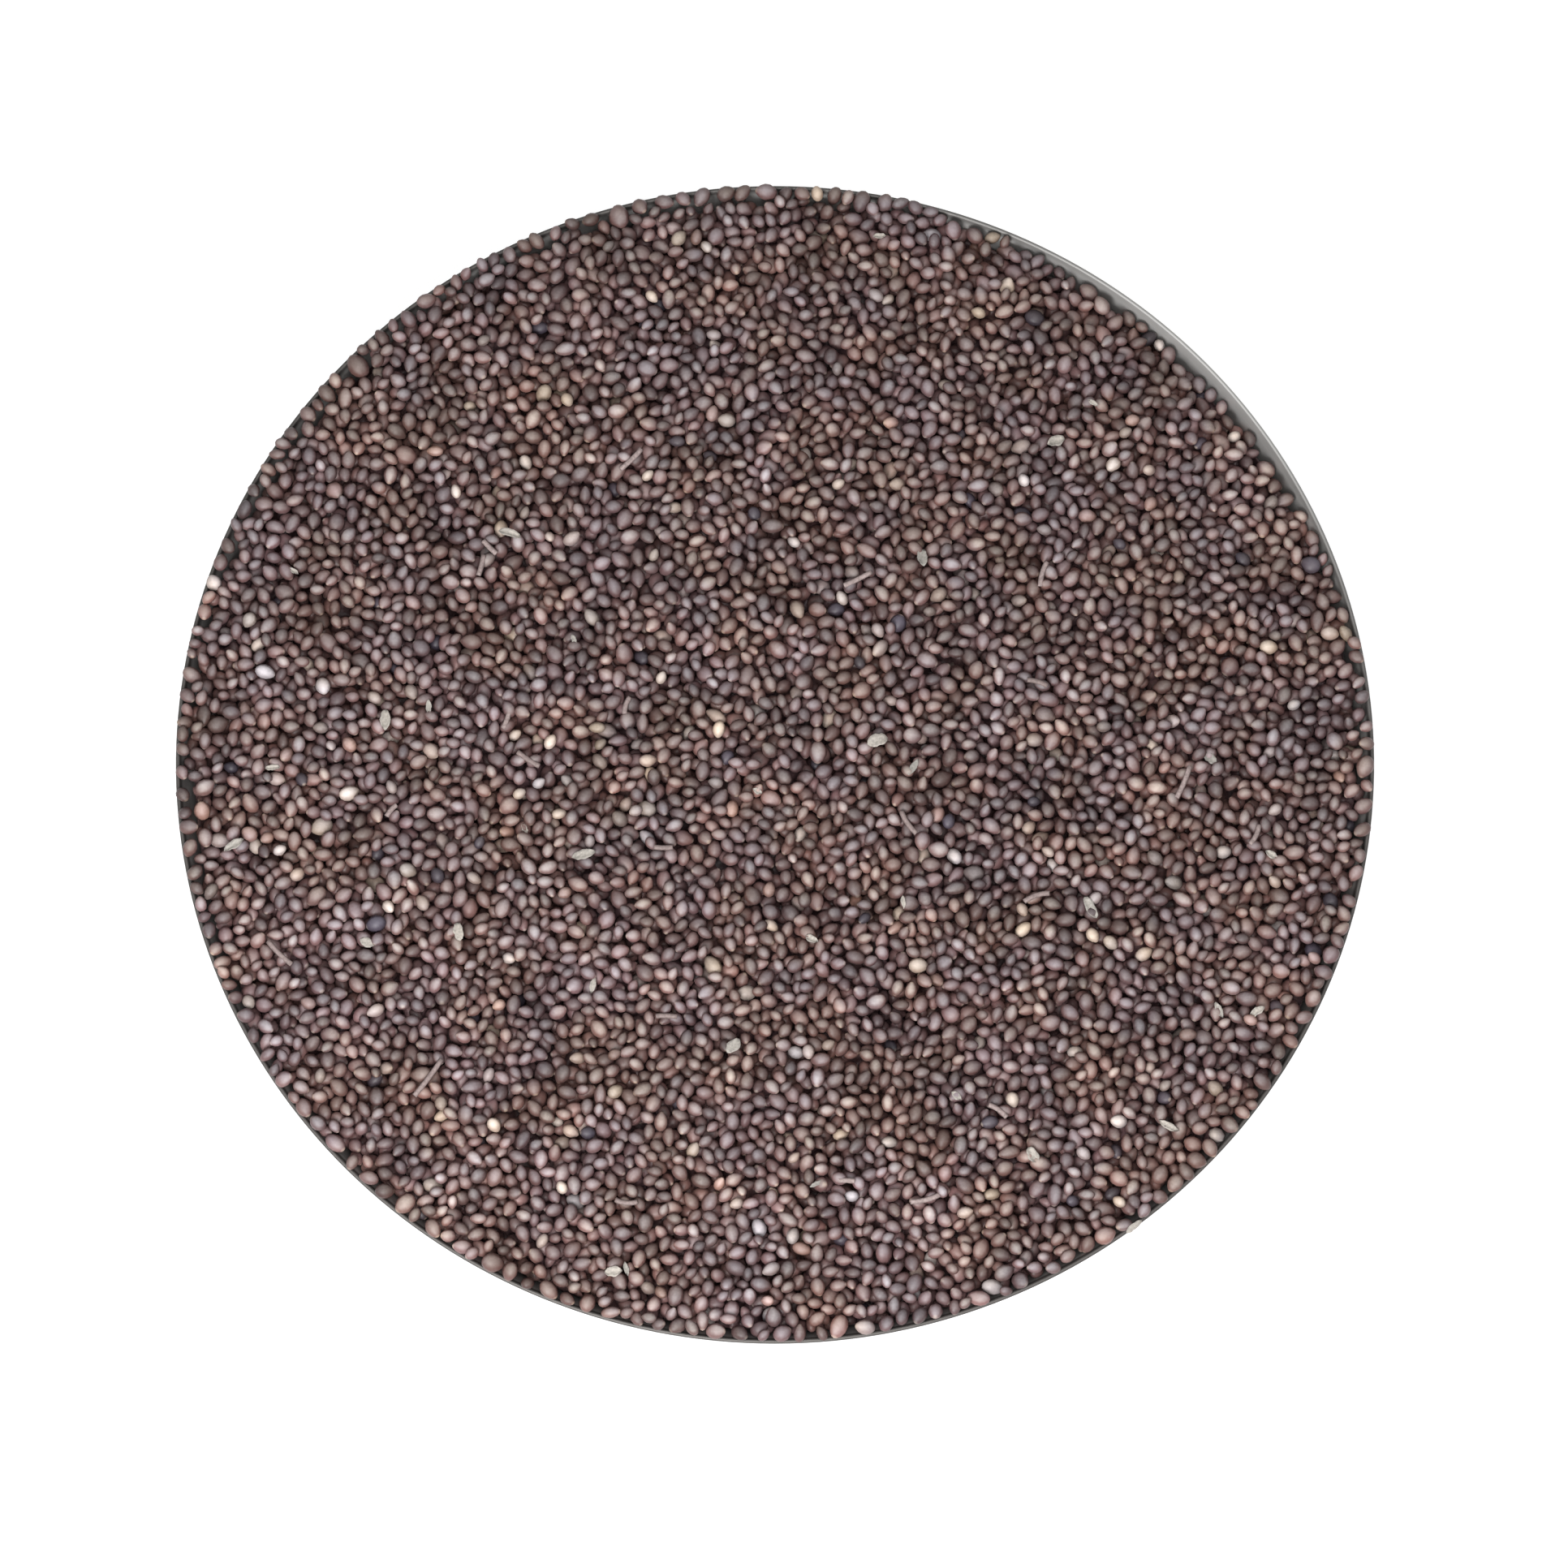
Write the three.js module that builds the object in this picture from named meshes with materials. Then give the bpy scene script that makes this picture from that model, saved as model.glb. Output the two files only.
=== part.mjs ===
// A small steel dish, brimful of holy basil seeds.
//
// Millimetres, +Z up. The origin is the centre of the dish's underside, so it stands on the plane Z = 0.
// The dish is sheet steel with a flat base, a round corner and a flared wall that ends in a plain rim.
// The seeds are one heap that fills the dish to just over its rim. A seed is about a millimetre long, so the
// top of the heap is a web of bumps of that size.
import * as THREE from "three";

// Driving dimensions of the dish.
const RIM_DIAMETER = 82;
const BASE_DIAMETER = 46;
const DISH_HEIGHT = 22;
const SHEET = 0.6;
const CORNER_RADIUS = 10;
const WALL_BULGE = 0.9; // how far the middle of the wall stands out from a straight flare
const DISH_SIDES = 72;
const CORNER_STEPS = 3;
const WALL_STEPS = 3;
const RIM_STEPS = 3;

// Driving dimensions of the heap.
const CLEARANCE = 0.3; // between the seeds and the steel
const BRIM_RISE = 0.35; // how far the heap's edge stands over the rim
const DOME_RISE = 1.4; // how far its middle stands over its edge
const SWELL = 0.25; // height of the slow unevenness left by pouring
const SAG_DEPTH = 0.9; // the heap has sagged along one stretch of the rim
const SAG_HEADING = THREE.MathUtils.degToRad(42);
const SAG_SPREAD = THREE.MathUtils.degToRad(24);
const SAG_START = 0.9; // share of the radius at which the sag begins
const BUMP_RISE = 0.38; // about half a seed's thickness
const BUMP_RINGS = 23; // rings of bumps from the middle to the rim
const SCATTER = 0.22; // how far a point of the web strays, as a share of the ring spacing

const rimRadius = RIM_DIAMETER / 2;
const baseRadius = BASE_DIAMETER / 2;

const steel = new THREE.MeshStandardMaterial({ color: 0xb4b1ac, roughness: 0.38, metalness: 1 });
const seedCoats = new THREE.MeshStandardMaterial({ color: 0x6a5958, roughness: 0.6, metalness: 0 });

// The middle of the sheet, as (radius, height): a round corner, then a wall that leaves the corner along
// the tangent that aims at the middle of the rim.
const cornerCentre = new THREE.Vector2(baseRadius, CORNER_RADIUS);
const cornerBend = CORNER_RADIUS - SHEET / 2;
const rimCentre = new THREE.Vector2(rimRadius - SHEET / 2, DISH_HEIGHT - SHEET / 2);
const toRim = rimCentre.clone().sub(cornerCentre);
const wallTurn = toRim.angle() - Math.acos(cornerBend / toRim.length());

// The point at a distance and turn from a centre. A turn of 0 faces straight out, -90 degrees down.
function pointRound(centre, distance, turn) {
  const way = new THREE.Vector2(Math.cos(turn), Math.sin(turn));
  return centre.clone().addScaledVector(way, distance);
}

// A line along the dish's section from the edge of its base to its rim, at an offset from the middle of
// the sheet: outwards is plus, inwards is minus.
function sectionLine(offset) {
  const points = [];
  for (let i = 0; i <= CORNER_STEPS; i++) {
    const turn = THREE.MathUtils.lerp(-Math.PI / 2, wallTurn, i / CORNER_STEPS);
    points.push(pointRound(cornerCentre, cornerBend + offset, turn));
  }
  const foot = points.at(-1);
  const head = pointRound(rimCentre, offset, wallTurn);
  for (let i = 1; i <= WALL_STEPS; i++) {
    const share = i / WALL_STEPS;
    const bulge = WALL_BULGE * Math.sin(Math.PI * share);
    points.push(pointRound(foot.clone().lerp(head, share), bulge, wallTurn));
  }
  return points;
}

// The steel dish: the outer face going up, the half-round rim, and the inner face down to the axis.
function dishGeometry() {
  const rim = [];
  for (let i = 1; i < RIM_STEPS; i++) {
    rim.push(pointRound(rimCentre, SHEET / 2, wallTurn + (Math.PI * i) / RIM_STEPS));
  }
  const outside = sectionLine(SHEET / 2);
  const inside = sectionLine(-SHEET / 2).reverse();
  const middleBelow = new THREE.Vector2(0, 0);
  const middleAbove = new THREE.Vector2(0, SHEET);
  const outline = [middleBelow, ...outside, ...rim, ...inside, middleAbove];
  return new THREE.LatheGeometry(outline, DISH_SIDES).rotateX(Math.PI / 2);
}

// The same random numbers on every run, from 0 to 1.
function randomSource(seed) {
  let state = seed;
  return () => {
    state = (Math.imul(state, 1664525) + 1013904223) >>> 0;
    return state / 2 ** 32;
  };
}

// Height of the heap's smooth surface over a point of the dish.
function heapLevel(x, y) {
  const share = Math.min(1, Math.hypot(x, y) / rimRadius);
  const offHeading = Math.atan2(y, x) - SAG_HEADING;
  const turnAway = Math.atan2(Math.sin(offHeading), Math.cos(offHeading));
  const sag = Math.exp(-((turnAway / SAG_SPREAD) ** 2)) * THREE.MathUtils.smoothstep(share, SAG_START, 1);
  const swell = Math.sin(x / 9 + 0.7) * Math.cos(y / 11 - 0.4) * (1 - share);
  return DISH_HEIGHT + BRIM_RISE + DOME_RISE * (1 - share ** 2) + SWELL * swell - SAG_DEPTH * sag;
}

// The heap of seeds. Its top is a web of rings: ring k has 6k points, and the middle of every triangle
// of the web is lifted into a bump. Its side and underside follow the inside of the dish.
function heapGeometry() {
  const random = randomSource(7);
  const positions = [];
  const faces = [];
  const addPoint = (x, y, z) => positions.push(x, y, z) / 3 - 1;
  const pointAt = (index) => new THREE.Vector3().fromArray(positions, index * 3);

  const lining = sectionLine(-SHEET / 2 - CLEARANCE);
  const [lower, upper] = lining.slice(-2);
  const spacing = upper.x / BUMP_RINGS;

  // Where the heap meets the steel at a height near the rim.
  const liningRadius = (height) => {
    const share = Math.min(1, (height - lower.y) / (upper.y - lower.y));
    return THREE.MathUtils.lerp(lower.x, upper.x, share);
  };

  const addRing = (ring) => {
    const isBrim = ring === BUMP_RINGS;
    const stray = isBrim ? 0 : SCATTER * spacing;
    const count = 6 * ring;
    return Array.from({ length: count }, (_, i) => {
      const angle = (2 * Math.PI * i) / count + (stray * (random() * 2 - 1)) / (ring * spacing);
      const reach = ring * spacing + stray * (random() * 2 - 1);
      const sink = BUMP_RISE * 0.4 * random();
      const z = heapLevel(reach * Math.cos(angle), reach * Math.sin(angle)) - sink;
      const radius = isBrim ? liningRadius(z) : reach;
      return addPoint(radius * Math.cos(angle), radius * Math.sin(angle), z);
    });
  };

  const addBump = (a, b, c) => {
    const middle = pointAt(a).add(pointAt(b)).add(pointAt(c)).divideScalar(3);
    const rise = BUMP_RISE * (0.7 + 0.6 * random());
    const peak = addPoint(middle.x, middle.y, middle.z + rise);
    faces.push(a, b, peak, b, c, peak, c, a, peak);
  };

  // The top, ring by ring. Each sixth of a ring has one stretch more than the same sixth inside it.
  let inner = [addPoint(0, 0, heapLevel(0, 0))];
  for (let ring = 1; ring <= BUMP_RINGS; ring++) {
    const outer = addRing(ring);
    for (let sixth = 0; sixth < 6; sixth++) {
      const out = (step) => outer[(sixth * ring + step) % outer.length];
      const within = (step) => inner[(sixth * (ring - 1) + step) % inner.length];
      for (let step = 0; step < ring; step++) {
        addBump(out(step), out(step + 1), within(step));
        if (step < ring - 1) addBump(within(step), out(step + 1), within(step + 1));
      }
    }
    inner = outer;
  }

  // The side and underside, from the brim down to the middle of the base.
  let above = inner;
  const sides = above.length;
  for (const { x: radius, y: height } of lining.slice(0, -1).reverse()) {
    const below = above.map((_, i) => {
      const angle = (2 * Math.PI * i) / sides;
      return addPoint(radius * Math.cos(angle), radius * Math.sin(angle), height);
    });
    for (let i = 0; i < sides; i++) {
      const next = (i + 1) % sides;
      faces.push(above[i], below[i], below[next], above[i], below[next], above[next]);
    }
    above = below;
  }
  const bottom = addPoint(0, 0, SHEET + CLEARANCE);
  for (let i = 0; i < sides; i++) faces.push(above[i], bottom, above[(i + 1) % sides]);

  const geometry = new THREE.BufferGeometry();
  geometry.setAttribute("position", new THREE.Float32BufferAttribute(positions, 3));
  geometry.setIndex(faces);
  geometry.computeVertexNormals();
  return geometry;
}

const dish = new THREE.Mesh(dishGeometry(), steel);
dish.name = "dish";

const seedHeap = new THREE.Mesh(heapGeometry(), seedCoats);
seedHeap.name = "seed_heap";

const filledDish = new THREE.Group();
filledDish.add(dish, seedHeap);

export default filledDish;
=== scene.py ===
# %% [markdown]
# # A dish of holy basil seeds
# This lesson dresses a small steel dish that is brimful of seeds. Each seed is only about a millimetre long,
# so the heap shows thousands of them. The lesson starts from a measured model of the dish and its contents,
# the frame, and puts finer shapes and finishes in its place. Everything is in metres.

# %% Load the frame
import math

import bmesh
import bpy
import numpy as np
from mathutils import Matrix, Vector


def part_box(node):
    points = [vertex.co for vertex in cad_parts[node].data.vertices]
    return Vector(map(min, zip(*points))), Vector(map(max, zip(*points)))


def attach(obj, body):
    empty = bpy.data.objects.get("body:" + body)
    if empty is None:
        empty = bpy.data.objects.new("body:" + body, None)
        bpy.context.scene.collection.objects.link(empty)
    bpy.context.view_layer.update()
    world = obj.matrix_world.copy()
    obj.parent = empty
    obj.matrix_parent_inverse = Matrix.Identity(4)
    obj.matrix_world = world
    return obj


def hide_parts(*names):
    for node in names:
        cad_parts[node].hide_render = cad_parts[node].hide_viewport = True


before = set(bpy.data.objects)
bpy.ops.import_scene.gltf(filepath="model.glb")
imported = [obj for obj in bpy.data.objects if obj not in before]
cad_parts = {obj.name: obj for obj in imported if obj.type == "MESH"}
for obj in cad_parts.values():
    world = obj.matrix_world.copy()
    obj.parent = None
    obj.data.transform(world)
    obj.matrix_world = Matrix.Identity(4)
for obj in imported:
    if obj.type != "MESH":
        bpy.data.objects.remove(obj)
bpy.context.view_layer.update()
dish_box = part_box("dish")
heap_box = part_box("seed_heap")
MM = 0.001
RIM_RADIUS = dish_box[1].x
RIM_HEIGHT = dish_box[1].z
print("rim radius", round(RIM_RADIUS / MM, 2), "mm, rim height", round(RIM_HEIGHT / MM, 2), "mm")

# %% [markdown]
# ## The camera
# The photograph looks down steeply, so the round rim shows as a slightly flattened ellipse. Its height over
# its width is the sine of the camera's angle above the table. A long lens keeps the far seeds almost as
# large as the near ones. The near half of the rim still looks a little larger than the far half, which
# pushes the ellipse down by a few pixels. The camera makes up for that, and it aims a little beside the
# dish, because the dish isn't quite central in the photo.

# %% Place the camera
PHOTO_SIDE = 1932  # pixels
RIM_MIDDLE = Vector((954.9, 941.8))  # pixels from the photo's top left corner
RIM_HALF_WIDTH = 738.4  # pixels
CAMERA_ANGLE = math.radians(75.1)  # above the table
LENS = 300  # millimetres
SENSOR = 36  # millimetres

pixel = RIM_RADIUS / RIM_HALF_WIDTH
rim_middle = Vector((0, 0, RIM_HEIGHT))
picture_up = Vector((0, math.sin(CAMERA_ANGLE), math.cos(CAMERA_ANGLE)))
towards_camera = Vector((0, -math.cos(CAMERA_ANGLE), math.sin(CAMERA_ANGLE)))
camera_distance = PHOTO_SIDE * pixel * LENS / SENSOR
pushed_down = RIM_RADIUS**2 * picture_up.y * picture_up.z / camera_distance / pixel
aside = PHOTO_SIDE / 2 - RIM_MIDDLE.x
below = PHOTO_SIDE / 2 - RIM_MIDDLE.y + pushed_down
aim = rim_middle + Vector((1, 0, 0)) * aside * pixel - picture_up * below * pixel

camera_data = bpy.data.cameras.new("camera")
camera_data.lens = LENS
camera_data.sensor_width = SENSOR
camera_data.clip_start = 0.01
camera = bpy.data.objects.new("camera", camera_data)
camera.location = aim + towards_camera * camera_distance
camera.rotation_mode = "QUATERNION"
camera.rotation_quaternion = towards_camera.to_track_quat("Z", "Y")
bpy.context.scene.collection.objects.link(camera)
bpy.context.scene.camera = camera
print("camera is", round(camera_distance, 3), "m away, ellipse pushed down", round(pushed_down, 1), "pixels")


def seen_at(across, down, height):
    """The place at a height above the table that the photo shows at a pixel."""
    x = (across - RIM_MIDDLE.x) * pixel
    rise = (RIM_MIDDLE.y - pushed_down - down) * pixel
    y = (rise - (height - RIM_HEIGHT) * picture_up.z) / picture_up.y
    return x, y


# %% [markdown]
# ## Helpers for pieces and finishes
# Every new piece goes through the same two steps. A bmesh becomes a mesh object that sits at the origin,
# and that object then gets its finish and rides on the frame's root body, and the frame's solid that it
# stands for is hidden. An attribute gives each point of a mesh a number that a material can read. Another
# helper adds a node to a material and sets its inputs by name.

# %% Define the helpers
def new_piece(name, mesh, material, stands_for):
    """Make an object of a mesh, give it its finish and tie it to the frame."""
    piece = bpy.data.objects.new(name, mesh)
    bpy.context.scene.collection.objects.link(piece)
    mesh.materials.append(material)
    mesh.shade_smooth()
    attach(piece, "root")
    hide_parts(stands_for)


def mesh_from(shape, name):
    mesh = bpy.data.meshes.new(name)
    shape.to_mesh(mesh)
    shape.free()
    return mesh


def add_node(tree, kind, inputs=None, **settings):
    node = tree.nodes.new(kind)
    for name, value in settings.items():
        setattr(node, name, value)
    for name, value in (inputs or {}).items():
        if isinstance(value, bpy.types.NodeSocket):
            tree.links.new(value, node.inputs[name])
        else:
            node.inputs[name].default_value = value
    return node


def mix_colours(tree, share, first, second, way="MIX"):
    """A mix of two colours. The mix node has sockets for numbers, vectors and colours under one name."""
    node = add_node(tree, "ShaderNodeMix", {0: share, 6: first, 7: second}, data_type="RGBA", blend_type=way)
    return node.outputs[2]


def remap(tree, value, low, high, to_low, to_high):
    limits = {"From Min": low, "From Max": high, "To Min": to_low, "To Max": to_high}
    return add_node(tree, "ShaderNodeMapRange", {"Value": value, **limits}).outputs["Result"]


def times_plus(tree, value, factor, addend):
    node = add_node(tree, "ShaderNodeMath", {0: value, 1: factor, 2: addend}, operation="MULTIPLY_ADD")
    return node.outputs["Value"]


def set_attribute(mesh, name, values):
    data = mesh.attributes.new(name, "FLOAT", "POINT").data
    data.foreach_set("value", np.asarray(values, np.float32).ravel())


def new_material(name):
    material = bpy.data.materials.new(name)
    material.use_nodes = True
    return material, material.node_tree, material.node_tree.nodes["Principled BSDF"]


# %% [markdown]
# ## The light and the table
# The photo is lit softly from the viewer's side and its background is plain white. A wide lamp overhead
# gives each seed its pale top. A small panel stands close by at the front, so the heap gets a little darker
# towards the back, and a pale sky keeps the gaps between the seeds from going black.

# %% Light the scene
SKY_STRENGTH = 0.46

scene = bpy.context.scene
scene.view_settings.view_transform = "Standard"
world = bpy.data.worlds.new("studio")
scene.world = world
world.use_nodes = True
world.node_tree.nodes["Background"].inputs["Color"].default_value = (1, 1, 1, 1)
world.node_tree.nodes["Background"].inputs["Strength"].default_value = SKY_STRENGTH


def soft_lamp(name, place, width, power):
    """A round lamp that faces the middle of the rim. The wider it is, the softer its shadows are."""
    data = bpy.data.lights.new(name, "AREA")
    data.shape = "DISK"
    data.size = width
    data.energy = power
    lamp = bpy.data.objects.new(name, data)
    lamp.location = place
    lamp.rotation_mode = "QUATERNION"
    lamp.rotation_quaternion = (lamp.location - rim_middle).to_track_quat("Z", "Y")
    scene.collection.objects.link(lamp)
    print(name, "lamp,", width, "m wide,", power, "W")


soft_lamp("overhead", Vector((0.15, -0.40, 1.95)), width=1.2, power=15)
soft_lamp("near_front", Vector((-0.055, -0.15, 0.17)), width=0.12, power=0.52)

# %% [markdown]
# A white sheet under the dish would turn grey in its shadow, and the photo's background has no shadow. So
# the table is a light table: a large plain sheet that glows a little, on which the shadow is only faint.

# %% Lay the table
TABLE_SIDE = 8
shape = bmesh.new()
bmesh.ops.create_grid(shape, x_segments=1, y_segments=1, size=TABLE_SIDE / 2)
table_mesh = mesh_from(shape, "table")
table_material, tree, shader = new_material("table_paper")
shader.inputs["Base Color"].default_value = (0.3, 0.3, 0.3, 1)
shader.inputs["Emission Color"].default_value = (1, 1, 1, 1)
shader.inputs["Emission Strength"].default_value = 0.8
shader.inputs["Roughness"].default_value = 0.9
table_mesh.materials.append(table_material)
table = bpy.data.objects.new("table", table_mesh)
scene.collection.objects.link(table)
print("the table is", TABLE_SIDE, "m wide")

# %% [markdown]
# ## The shape of the dish
# A dish like this is pressed from a round blank of sheet steel. Its section is a flat base, a round corner
# and a flared wall that bulges slightly. The last stretch of the wall is drawn thinner and its edge is
# turned smooth, so that from above the rim is only a fine line. A section that is the same all the way
# round is best spun: a line of points is swept round the upright axis. The section is worked out from the
# same few sizes as the frame's solid, with more points along its bends.

# %% Work out the section
SHEET = 0.6 * MM
LIP = 0.3 * MM
LIP_START = 0.75  # the share of the wall's height from which it gets thinner
BASE_RADIUS = 23 * MM
CORNER_RADIUS = 10 * MM
WALL_BULGE = 0.9 * MM

corner_middle = Vector((BASE_RADIUS, CORNER_RADIUS))
corner_bend = CORNER_RADIUS - LIP / 2
rim_bend_middle = Vector((RIM_RADIUS - LIP / 2, RIM_HEIGHT - LIP / 2))
to_rim = rim_bend_middle - corner_middle
wall_turn = math.atan2(to_rim.y, to_rim.x) - math.acos(corner_bend / to_rim.length)


def point_round(middle, distance, turn):
    """The point at a distance and turn from a middle: a turn of 0 is straight out, -90 degrees down."""
    return middle + Vector((math.cos(turn), math.sin(turn))) * distance


def section_line(depth, corner_steps, wall_steps):
    """Points from the edge of the base to the rim, at a depth under the outside of the dish."""
    line = []
    for i in range(corner_steps + 1):
        turn = -math.pi / 2 + (wall_turn + math.pi / 2) * i / corner_steps
        line.append(point_round(corner_middle, CORNER_RADIUS - depth, turn))
    foot = point_round(corner_middle, CORNER_RADIUS, wall_turn)
    head = point_round(rim_bend_middle, LIP / 2, wall_turn)
    thinned = (SHEET - LIP) * min(1, depth / SHEET)
    for i in range(1, wall_steps + 1):
        share = i / wall_steps
        bulge = WALL_BULGE * math.sin(math.pi * share)
        thinning = thinned * max(0, (share - LIP_START) / (1 - LIP_START)) ** 2
        line.append(point_round(foot.lerp(head, share), bulge - depth + thinning, wall_turn))
    return line


print("the wall leans", round(90 - math.degrees(wall_turn + math.pi / 2), 1), "degrees from upright")

# %% Spin the dish
CORNER_STEPS = 12
WALL_STEPS = 16
RIM_STEPS = 8
DISH_SIDES = 256

outside = section_line(0, CORNER_STEPS, WALL_STEPS)
inside = section_line(SHEET, CORNER_STEPS, WALL_STEPS)[::-1]
rim_turns = [wall_turn + math.pi * i / RIM_STEPS for i in range(1, RIM_STEPS)]
rim_line = [point_round(rim_bend_middle, LIP / 2, turn) for turn in rim_turns]
section = [Vector((0, 0)), *outside, *rim_line, *inside, Vector((0, SHEET))]

shape = bmesh.new()
points = [shape.verts.new((p.x, 0, p.y)) for p in section]
edges = [shape.edges.new(pair) for pair in zip(points, points[1:])]
bmesh.ops.spin(
    shape, geom=points + edges, cent=(0, 0, 0), axis=(0, 0, 1),
    angle=2 * math.pi, steps=DISH_SIDES, use_merge=True,
)
bmesh.ops.remove_doubles(shape, verts=shape.verts, dist=0.001 * MM)
bmesh.ops.recalc_face_normals(shape, faces=shape.faces)
dish_mesh = mesh_from(shape, "dish")
print("dish faces", len(dish_mesh.polygons))

# %% [markdown]
# ## The finish of the steel
# Satin steel is a bright metal whose shine is blurred along fine turned lines. The lines run round the
# dish, so their pattern reads only how far a point is from the axis and how high it is. From line to line
# the finish gets a little rougher or darker, and the lines stand up by a hair. The metal has gone a little
# dull, so it isn't wholly metallic. The thin edge of the rim is painted dark where seeds lie on it, as
# painted shade from the seeds, and bright where it is bare. An attribute named bare tells where, once the
# heap is laid out. A broad faint noise stands for wiping marks.

# %% Make the steel
dish_steel, tree, shader = new_material("dish_steel")
spot = add_node(tree, "ShaderNodeTexCoord").outputs["Object"]
apart = add_node(tree, "ShaderNodeSeparateXYZ", {"Vector": spot})
flat = add_node(tree, "ShaderNodeCombineXYZ", {"X": apart.outputs["X"], "Y": apart.outputs["Y"]})
reach = add_node(tree, "ShaderNodeVectorMath", {0: flat.outputs["Vector"]}, operation="LENGTH")
turned = add_node(tree, "ShaderNodeCombineXYZ", {"X": reach.outputs["Value"], "Y": apart.outputs["Z"]})
lines = add_node(
    tree, "ShaderNodeTexNoise",
    {"Vector": turned.outputs["Vector"], "Scale": 2600, "Detail": 4, "Roughness": 0.6},
).outputs["Fac"]
wiping = add_node(tree, "ShaderNodeTexNoise", {"Vector": spot, "Scale": 70, "Detail": 3}).outputs["Fac"]
roughness = times_plus(tree, wiping, 0.12, remap(tree, lines, 0, 1, 0.50, 0.60))
tone = mix_colours(tree, wiping, (0.44, 0.433, 0.42, 1), (0.56, 0.552, 0.538, 1))
line_share = remap(tree, lines, 0.35, 0.65, 0, 0.2)
tone = mix_colours(tree, line_share, tone, (0.24, 0.235, 0.226, 1))
# The rim's thin edge gets a painted shade colour where seeds lie on it, and a plain steel tone where it is
# bare.
rim_edge_share = remap(tree, apart.outputs["Z"], RIM_HEIGHT - 1.6 * LIP, RIM_HEIGHT - 0.7 * LIP, 0, 1)
bare = add_node(tree, "ShaderNodeAttribute", attribute_name="bare").outputs["Fac"]
edge_painted_shade_tone = mix_colours(tree, bare, (0.13, 0.122, 0.116, 1), (0.50, 0.493, 0.48, 1))
tone = mix_colours(tree, rim_edge_share, tone, edge_painted_shade_tone)
raised = add_node(tree, "ShaderNodeBump", {"Height": lines, "Strength": 0.12, "Distance": 0.01 * MM})
tree.links.new(tone, shader.inputs["Base Color"])
tree.links.new(roughness, shader.inputs["Roughness"])
tree.links.new(raised.outputs["Normal"], shader.inputs["Normal"])
shader.inputs["Metallic"].default_value = 0.9
new_piece("steel_dish", dish_mesh, dish_steel, "dish")
print("steel has", len(tree.nodes), "nodes")

# %% [markdown]
# ## How the seeds lie
# Seeds that are poured come to rest in each other's hollows. Places picked at random would leave gaps and
# overlaps, and a physics run of thousands of seeds is slow. So the seeds are dropped one by one onto a
# height map, a square grid that holds the top of all that has landed. First comes the smooth surface that
# they should fill the dish to: a low dome that stands a little over the rim and sags along one stretch.

# %% Set out the heap's level
BRIM_RISE = 0.35 * MM
DOME_RISE = 1.4 * MM
SWELL = 0.25 * MM
SAG_DEPTH = 0.9 * MM
SAG_HEADING = math.radians(42)
SAG_SPREAD = math.radians(24)
SAG_START = 0.9
SEED_STAND = 0.3 * MM  # how far the seeds' tops stand over the level


def sag_share(x, y):
    """How far the heap sags at a place: 1 at the middle of the low stretch, against the rim."""
    share = np.minimum(1, np.hypot(x, y) / RIM_RADIUS)
    away = np.angle(np.exp(1j * (np.arctan2(y, x) - SAG_HEADING)))
    rise = np.clip((share - SAG_START) / (1 - SAG_START), 0, 1)
    return np.exp(-((away / SAG_SPREAD) ** 2)) * rise * rise * (3 - 2 * rise)


def heap_level(x, y):
    """The heap's smooth surface: a low dome, uneven from pouring, that sags along one stretch of rim."""
    share = np.minimum(1, np.hypot(x, y) / RIM_RADIUS)
    dome = BRIM_RISE + DOME_RISE * (1 - share**2)
    swell = np.sin(x / (9 * MM) + 0.7) * np.cos(y / (11 * MM) - 0.4) * (1 - share)
    return RIM_HEIGHT + dome + SWELL * swell - SAG_DEPTH * sag_share(x, y)


# The steel is bare where the heap sags.
dish_points = np.array([point.co for point in dish_mesh.vertices])
bare_steel = sag_share(dish_points[:, 0], dish_points[:, 1])
set_attribute(dish_mesh, "bare", bare_steel)
print("steel is bare at", int((bare_steel > 0.5).sum()), "of", len(bare_steel), "points")

# %% [markdown]
# The map starts as a bed: the underside of the loose layer, or the steel where that is higher. Past the rim
# it is a high wall. A second grid holds how high the tops may come. Small hollows are taken off it, because
# the top of a real heap isn't even, and over the rim it is a little higher, for the seeds that lie there.

# %% Make the height map
chance = np.random.default_rng(11)
CELL = 0.06 * MM
MAP_MARGIN = 2.6 * MM  # past the rim, so that the map has room for every seed's window
CELLS = int(2 * (RIM_RADIUS + MAP_MARGIN) / CELL)
LOOSE_DEPTH = 2.4 * MM  # the seeds are dropped one by one in this top layer
BRIM_STAND = 0.35 * MM  # the last seeds lie on the rim itself, so they stand this much higher
SAG_EXTRA = 0.5 * MM  # where the heap sags, its loose seeds have rolled away and bare the steel
OVERHANG_LEFT = 0.03 * MM  # between these seeds and the rim's outermost line
HOLLOW_SPACING = 2.6 * MM  # the tops aren't level: small hollows lie among them
HOLLOW_DEPTH = 0.16 * MM

across = (np.arange(CELLS) + 0.5 - CELLS / 2) * CELL
map_x, map_y = np.meshgrid(across, across, indexing="ij")
map_reach = np.hypot(map_x, map_y)
level = heap_level(map_x, map_y)
sag = sag_share(map_x, map_y)
on_rim = np.clip(map_reach / RIM_RADIUS * 20 - 19, 0, 1) * (1 - sag)  # over the outer twentieth
tops = level + SEED_STAND + BRIM_STAND * on_rim - SAG_EXTRA * sag
knots = np.arange(across[0], across[-1] + HOLLOW_SPACING, HOLLOW_SPACING)
depths = HOLLOW_DEPTH * np.clip(chance.normal(0, 1, (len(knots), len(knots))), 0, 2)
depths = np.array([np.interp(across, knots, row) for row in depths])
tops -= np.array([np.interp(across, knots, column) for column in depths.T]).T


def line_height(line, reach):
    """The height of a section line at distances from the axis, and far below where it doesn't reach."""
    return np.interp(reach, [p.x for p in line], [p.y for p in line], left=-1, right=-1)


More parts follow.
